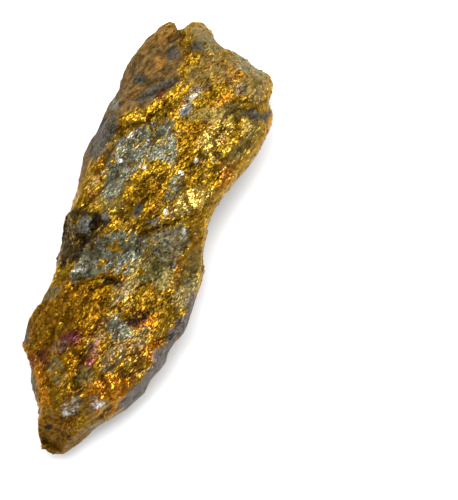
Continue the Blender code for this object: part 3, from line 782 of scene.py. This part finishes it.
def plate_tree(material):
    """Scatters crystal plates over the ore, lying along its sheets and leaning a little."""
    tree = bpy.data.node_groups.new("crystal plates", "GeometryNodeTree")
    face = tree.interface
    face.new_socket("Geometry", in_out="INPUT", socket_type="NodeSocketGeometry")
    face.new_socket("Plates", in_out="INPUT", socket_type="NodeSocketCollection")
    for name in ("Spacing", "Density", "Shortest", "Longest", "Lean"):
        face.new_socket(name, in_out="INPUT", socket_type="NodeSocketFloat")
    face.new_socket("Seed", in_out="INPUT", socket_type="NodeSocketInt")
    face.new_socket("Geometry", in_out="OUTPUT", socket_type="NodeSocketGeometry")
    given = tree.nodes.new("NodeGroupInput").outputs
    points = add_node(
        tree,
        "GeometryNodeDistributePointsOnFaces",
        {
            "Mesh": given["Geometry"],
            "Distance Min": given["Spacing"],
            "Density Max": given["Density"],
            "Density Factor": named_value(tree, "FLOAT", "ore_plates"),
            "Seed": given["Seed"],
        },
        distribute_method="POISSON",
    )
    upright = add_node(
        tree, "FunctionNodeAlignRotationToVector", {"Vector": points.outputs["Normal"]}, axis="Z"
    )
    sheets = (math.cos(FOLIATION), math.sin(FOLIATION), 0.0)
    lengthwise = add_node(
        tree,
        "FunctionNodeAlignRotationToVector",
        {"Rotation": upright.outputs["Rotation"], "Vector": sheets},
        axis="X",
        pivot_axis="Z",
    )
    back = add_node(tree, "ShaderNodeMath", {0: given["Lean"], 1: -1.0}, operation="MULTIPLY")
    lean = random_vector(tree, back.outputs["Value"], given["Lean"], given["Seed"])
    turn = add_node(tree, "FunctionNodeEulerToRotation", {"Euler": lean})
    leaning = add_node(
        tree,
        "FunctionNodeRotateRotation",
        {"Rotation": lengthwise.outputs["Rotation"], "Rotate By": turn.outputs["Rotation"]},
        rotation_space="LOCAL",
    )
    plates = add_node(
        tree,
        "GeometryNodeCollectionInfo",
        {"Collection": given["Plates"], "Separate Children": True, "Reset Children": True},
    )
    scattered = add_node(
        tree,
        "GeometryNodeInstanceOnPoints",
        {
            "Points": points.outputs["Points"],
            "Instance": plates.outputs["Instances"],
            "Pick Instance": True,
            "Rotation": leaning.outputs["Rotation"],
            "Scale": random_vector(tree, given["Shortest"], given["Longest"], given["Seed"]),
        },
    )
    geometry = scattered.outputs["Instances"]
    tints = {2: PLATE_TINTS[0], 3: PLATE_TINTS[1]}
    tint = add_node(tree, "FunctionNodeRandomValue", tints, data_type="FLOAT")
    for name, kind, gain in (
        ("ore_colour", "FLOAT_COLOR", tint.outputs[1]),
        ("ore_rough", "FLOAT", PLATE_POLISH),
        ("ore_cut", "FLOAT", PLATE_GLITTER),
    ):
        value = vector_math(tree, "SCALE", named_value(tree, kind, name), gain)
        geometry = add_node(
            tree,
            "GeometryNodeStoreNamedAttribute",
            {"Geometry": geometry, "Name": name, "Value": value},
            data_type=kind,
            domain="INSTANCE",
        ).outputs["Geometry"]
    real = add_node(tree, "GeometryNodeRealizeInstances", {"Geometry": geometry})
    covered = add_node(
        tree,
        "GeometryNodeSetMaterial",
        {"Geometry": real.outputs["Geometry"], "Material": material},
    )
    result = tree.nodes.new("NodeGroupOutput")
    tree.links.new(covered.outputs["Geometry"], result.inputs["Geometry"])
    return tree


def matte_material(name, colour, roughness):
    """A plain coloured material."""
    made = bpy.data.materials.new(name)
    made.use_nodes = True
    shader = made.node_tree.nodes["Principled BSDF"]
    shader.inputs["Base Color"].default_value = (*colour, 1.0)
    shader.inputs["Roughness"].default_value = roughness
    return made


def finished_piece(name, mesh, material):
    """Puts a finished mesh into the scene as a piece of the stone."""
    mesh.materials.clear()
    mesh.materials.append(material)
    piece = placed(name, mesh)
    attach(piece, "root")
    return piece


class StoneSettings(bpy.types.PropertyGroup):
    """How the stone is cut, how much shade is painted into its hollows and how its patches of mineral
    end.
    """

    point_spacing: FloatProperty(
        name="Point spacing",
        description="Distance between the points of the carved surface",
        default=0.55 * MM,
        unit="LENGTH",
    )
    triangles: IntProperty(
        name="Triangles", description="Triangles of the finished stone", default=190000
    )
    relief: FloatProperty(
        name="Relief", description="How deep the crystals are cut", default=1.0, subtype="FACTOR"
    )
    sink: FloatProperty(
        name="Sink",
        description="How far the cutting takes the whole surface back",
        default=0.2 * MM,
        unit="LENGTH",
    )
    # Painted shade: a hollow between crystals this deep gets the full painted shade
    hollow_depth: FloatProperty(
        name="Hollow depth",
        description="Depth of a hollow between crystals that is fully shaded",
        default=0.12 * MM,
        unit="LENGTH",
    )
    hollow_shade: FloatProperty(
        name="Hollow shade",
        description="How much darker a hollow between crystals is",
        default=0.5,
        subtype="FACTOR",
    )
    zone_share: FloatProperty(
        name="Zone share",
        description="How fully a broad zone covers the ore under it",
        default=0.75,
        subtype="FACTOR",
    )
    mottle: FloatProperty(
        name="Mottle",
        description="Share by which a colour varies from grain to grain, less in metal",
        default=0.38,
        subtype="FACTOR",
    )
    patch_edge: FloatProperty(
        name="Patch edge",
        description="Width over which one mineral gives way to another",
        default=1.6 * MM,
        unit="LENGTH",
    )
    patch_wander: FloatProperty(
        name="Patch wander",
        description="How far the edge of a mineral patch wanders",
        default=2.6 * MM,
        unit="LENGTH",
    )
    patch_fringe: FloatProperty(
        name="Patch fringe",
        description="Size of the teeth along the edge of a mineral patch",
        default=0.9 * MM,
        unit="LENGTH",
    )


class GlitterSettings(bpy.types.PropertyGroup):
    """The smallest crystals, which tilt the light and carry painted highlights and painted shade in
    their colour.
    """

    length: FloatProperty(
        name="Length", description="Length along the sheets", default=1.8 * MM, unit="LENGTH"
    )
    width: FloatProperty(
        name="Width", description="Width across the sheets", default=0.56 * MM, unit="LENGTH"
    )
    tilt: FloatProperty(
        name="Tilt", description="How far a crystal leans, as a slope", default=0.42
    )


class PlateSettings(bpy.types.PropertyGroup):
    """The crystal plates that stand out of the ore."""

    large: FloatProperty(
        name="Large", description="Length of a large plate", default=2.1 * MM, unit="LENGTH"
    )
    large_spacing: FloatProperty(
        name="Large spacing",
        description="Least distance between large plates",
        default=3.2 * MM,
        unit="LENGTH",
    )
    small: FloatProperty(
        name="Small", description="Length of a small plate", default=1.1 * MM, unit="LENGTH"
    )
    small_spacing: FloatProperty(
        name="Small spacing",
        description="Least distance between small plates",
        default=1.0 * MM,
        unit="LENGTH",
    )
    variety: FloatProperty(
        name="Variety", description="Share by which a plate's size varies", default=0.35
    )
    lean: FloatProperty(
        name="Lean",
        description="Farthest that a plate leans out of the surface",
        default=math.radians(23),
        subtype="ANGLE",
    )


class OreColours(bpy.types.PropertyGroup):
    """The colours of the main minerals."""

    gold: FloatVectorProperty(
        name="Gold", description="Fresh brassy ore", default=MINERALS["gold"][0], subtype="COLOR"
    )
    orange: FloatVectorProperty(
        name="Orange", description="First tarnish", default=MINERALS["orange"][0], subtype="COLOR"
    )
    grey: FloatVectorProperty(
        name="Grey", description="Grey sulphides", default=MINERALS["grey"][0], subtype="COLOR"
    )
    matte: FloatVectorProperty(
        name="Matte", description="Weathered rock", default=MINERALS["matte"][0], subtype="COLOR"
    )
    quartz: FloatVectorProperty(
        name="Quartz", description="Quartz gangue", default=MINERALS["quartz"][0], subtype="COLOR"
    )
    purple: FloatVectorProperty(
        name="Purple", description="Peacock ore", default=MINERALS["purple"][0], subtype="COLOR"
    )


class StageSettings(bpy.types.PropertyGroup):
    """Floor, lamps and camera."""

    floor: FloatVectorProperty(
        name="Floor", description="Colour of the floor", default=(0.9, 0.9, 0.9), subtype="COLOR"
    )
    key_power: FloatProperty(
        name="Key power", description="Power of the main lamp", default=10.5, unit="POWER"
    )
    top_power: FloatProperty(
        name="Top power", description="Power of the lamp overhead", default=5.0, unit="POWER"
    )
    fill_power: FloatProperty(
        name="Fill power", description="Power of the fill lamp", default=0.8, unit="POWER"
    )
    sky: FloatProperty(
        name="Sky", description="Strength of the even light all round", default=0.44
    )
    camera_height: FloatProperty(
        name="Camera height",
        description="Height of the camera over the floor",
        default=481 * MM,
        unit="LENGTH",
    )


class ORE_OT_stone(bpy.types.Operator):
    """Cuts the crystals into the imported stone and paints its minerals"""

    bl_idname = "ore.stone"
    bl_label = "Carve the stone"

    def execute(self, context):
        scene = context.scene
        material = ore_material(scene.ore_glitter)
        mesh = carved_stone(scene.ore_stone, scene.ore_colours)
        mesh.shade_smooth()
        mesh.set_sharp_from_angle(angle=SHARP_ANGLE)
        stone = finished_piece("stone", mesh, material)
        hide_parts("chalcopyrite")
        return {"FINISHED"}


class ORE_OT_plates(bpy.types.Operator):
    """Scatters the crystal plates that stand out of the ore, large and small"""

    bl_idname = "ore.plates"
    bl_label = "Scatter the crystal plates"

    def execute(self, context):
        stone = bpy.data.objects["stone"]
        settings = context.scene.ore_plates
        material = stone.data.materials[0]
        plates = plate_collection()
        tree = plate_tree(material)
        for name, size, spacing, seed in (
            ("large_plates", settings.large, settings.large_spacing, 4),
            ("small_plates", settings.small, settings.small_spacing, 5),
        ):
            inputs = {
                "Plates": plates,
                "Spacing": spacing,
                "Density": PLATE_CROWDING / spacing**2,
                "Shortest": size * (1 - settings.variety),
                "Longest": size * (1 + settings.variety),
                "Lean": settings.lean,
                "Seed": seed,
            }
            mesh = modified(stone.data.copy(), "NODES", inputs, node_group=tree)
            mesh.shade_flat()
            finished_piece(name, mesh, material)
        for plate in list(plates.objects):
            bpy.data.objects.remove(plate)
        bpy.data.collections.remove(plates)
        return {"FINISHED"}


def add_lamp(name, size, place, power):
    """A soft square lamp that shines at the middle of the stone."""
    data = bpy.data.lights.new(name, "AREA")
    data.shape = "SQUARE"
    data.size = size
    data.energy = power
    lamp = placed(name, data)
    right, up, height = place
    lamp.location = PICTURE_RIGHT * right + PICTURE_UP * up + Vector((0, 0, height))
    lamp.rotation_euler = (LAMP_TARGET - lamp.location).to_track_quat("-Z", "Y").to_euler()


class ORE_OT_stage(bpy.types.Operator):
    """Adds the floor, the lamps and the camera"""

    bl_idname = "ore.stage"
    bl_label = "Set the stage"

    def execute(self, context):
        scene = context.scene
        stage = scene.ore_stage
        mesh = bpy.data.meshes.new("floor")
        corners = ((-1, -1), (1, -1), (1, 1), (-1, 1))
        mesh.from_pydata(
            [(x * FLOOR_HALF, y * FLOOR_HALF, 0) for x, y in corners], [], [(0, 1, 2, 3)]
        )
        mesh.materials.append(matte_material("floor", stage.floor, FLOOR_ROUGHNESS))
        floor = placed("floor", mesh)
        floor.location.z = -FLOOR_DROP
        for name, size, place in LAMPS:
            add_lamp(name, size, place, getattr(stage, f"{name}_power"))
        world = bpy.data.worlds.new("sky")
        world.use_nodes = True
        sky = world.node_tree.nodes["Background"]
        sky.inputs["Color"].default_value = (1.0, 1.0, 1.0, 1.0)
        sky.inputs["Strength"].default_value = stage.sky
        scene.world = world
        scene.view_settings.view_transform = "Standard"
        data = bpy.data.cameras.new("camera")
        data.lens = LENS
        data.sensor_width = SENSOR
        camera = placed("camera", data)
        right, up = CAMERA_OFFSET
        camera.location = PICTURE_RIGHT * right + PICTURE_UP * up
        camera.location.z = stage.camera_height
        camera.rotation_euler = (0.0, 0.0, CAMERA_TURN)
        scene.camera = camera
        return {"FINISHED"}


class ORE_PT_specimen(bpy.types.Panel):
    """Lists the steps that dress the stone"""

    bl_label = "Chalcopyrite specimen"
    bl_space_type = "VIEW_3D"
    bl_region_type = "UI"
    bl_category = "Ore"

    def draw(self, context):
        for group, operator in STEPS:
            box = self.layout.box()
            for name in group:
                settings = getattr(context.scene, name)
                for prop in settings.bl_rna.properties:
                    if prop.identifier not in ("name", "rna_type"):
                        box.prop(settings, prop.identifier)
            box.operator(operator)


SETTINGS = {
    "ore_stone": StoneSettings,
    "ore_glitter": GlitterSettings,
    "ore_plates": PlateSettings,
    "ore_colours": OreColours,
    "ore_stage": StageSettings,
}
STEPS = (
    (("ore_stone", "ore_glitter", "ore_colours"), "ore.stone"),
    (("ore_plates",), "ore.plates"),
    (("ore_stage",), "ore.stage"),
)
CLASSES = (*SETTINGS.values(), ORE_OT_stone, ORE_OT_plates, ORE_OT_stage, ORE_PT_specimen)


def register():
    for cls in CLASSES:
        bpy.utils.register_class(cls)
    for name, group in SETTINGS.items():
        setattr(bpy.types.Scene, name, PointerProperty(type=group))


def unregister():
    for name in SETTINGS:
        delattr(bpy.types.Scene, name)
    for cls in reversed(CLASSES):
        bpy.utils.unregister_class(cls)


def main():
    """Dresses the stone and sets the stage."""
    register()
    bpy.ops.ore.stone()
    bpy.ops.ore.plates()
    bpy.ops.ore.stage()


if __name__ == "__main__":
    main()
